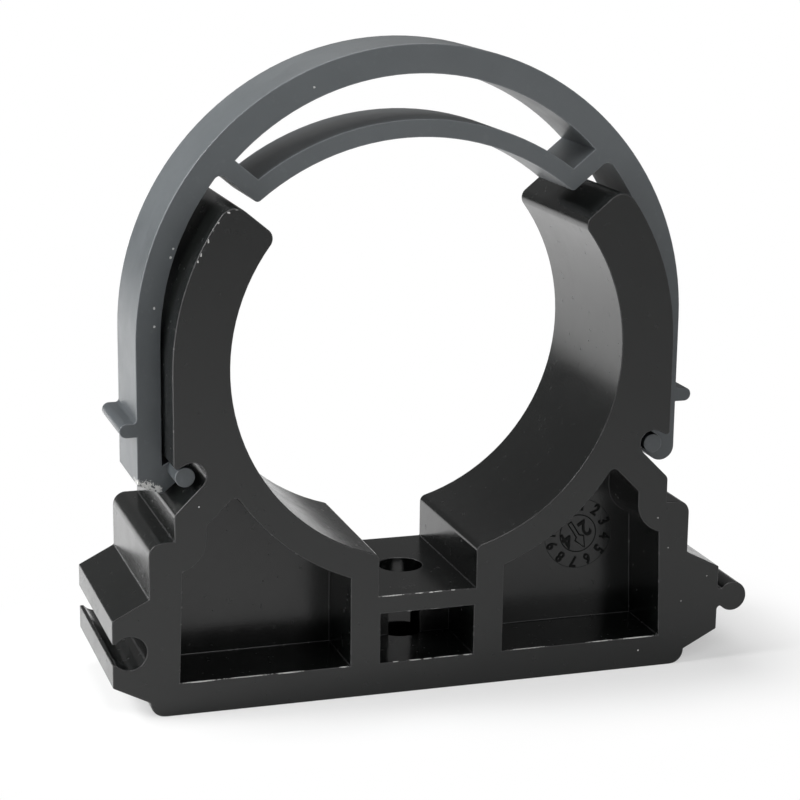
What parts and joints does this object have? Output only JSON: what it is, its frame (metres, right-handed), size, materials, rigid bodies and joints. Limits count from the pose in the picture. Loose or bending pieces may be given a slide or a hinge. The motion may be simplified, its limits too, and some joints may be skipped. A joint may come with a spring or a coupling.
{
  "type": "closed pipe clip",
  "caption": "Moulded plastic pipe clip: a screw-down saddle with sprung arms round the pipe, a closing strap hooked over it, and side links for joining clips in a row.",
  "frame": {"origin": "on the axis of the screw hole, in the wall face of the saddle, midway along the pipe", "axes": "+Z away from the wall through the screw hole, +Y along the pipe, +X along a row of clips towards the side with the bead"},
  "size_m": [0.1051, 0.029, 0.1008],
  "materials": {
    "saddle_plastic": "satin black",
    "strap_plastic": "satin dark grey"
  },
  "bodies": {
    "saddle": {"saddle": "saddle_plastic"},
    "strap": {"closing_strap": "strap_plastic"}
  },
  "joints": [
    {"name": "strap_slide", "type": "slide", "parent": "saddle", "child": "strap", "axis": [0, 1, 0], "range_m": [-0.028, 0.028]}
  ]
}
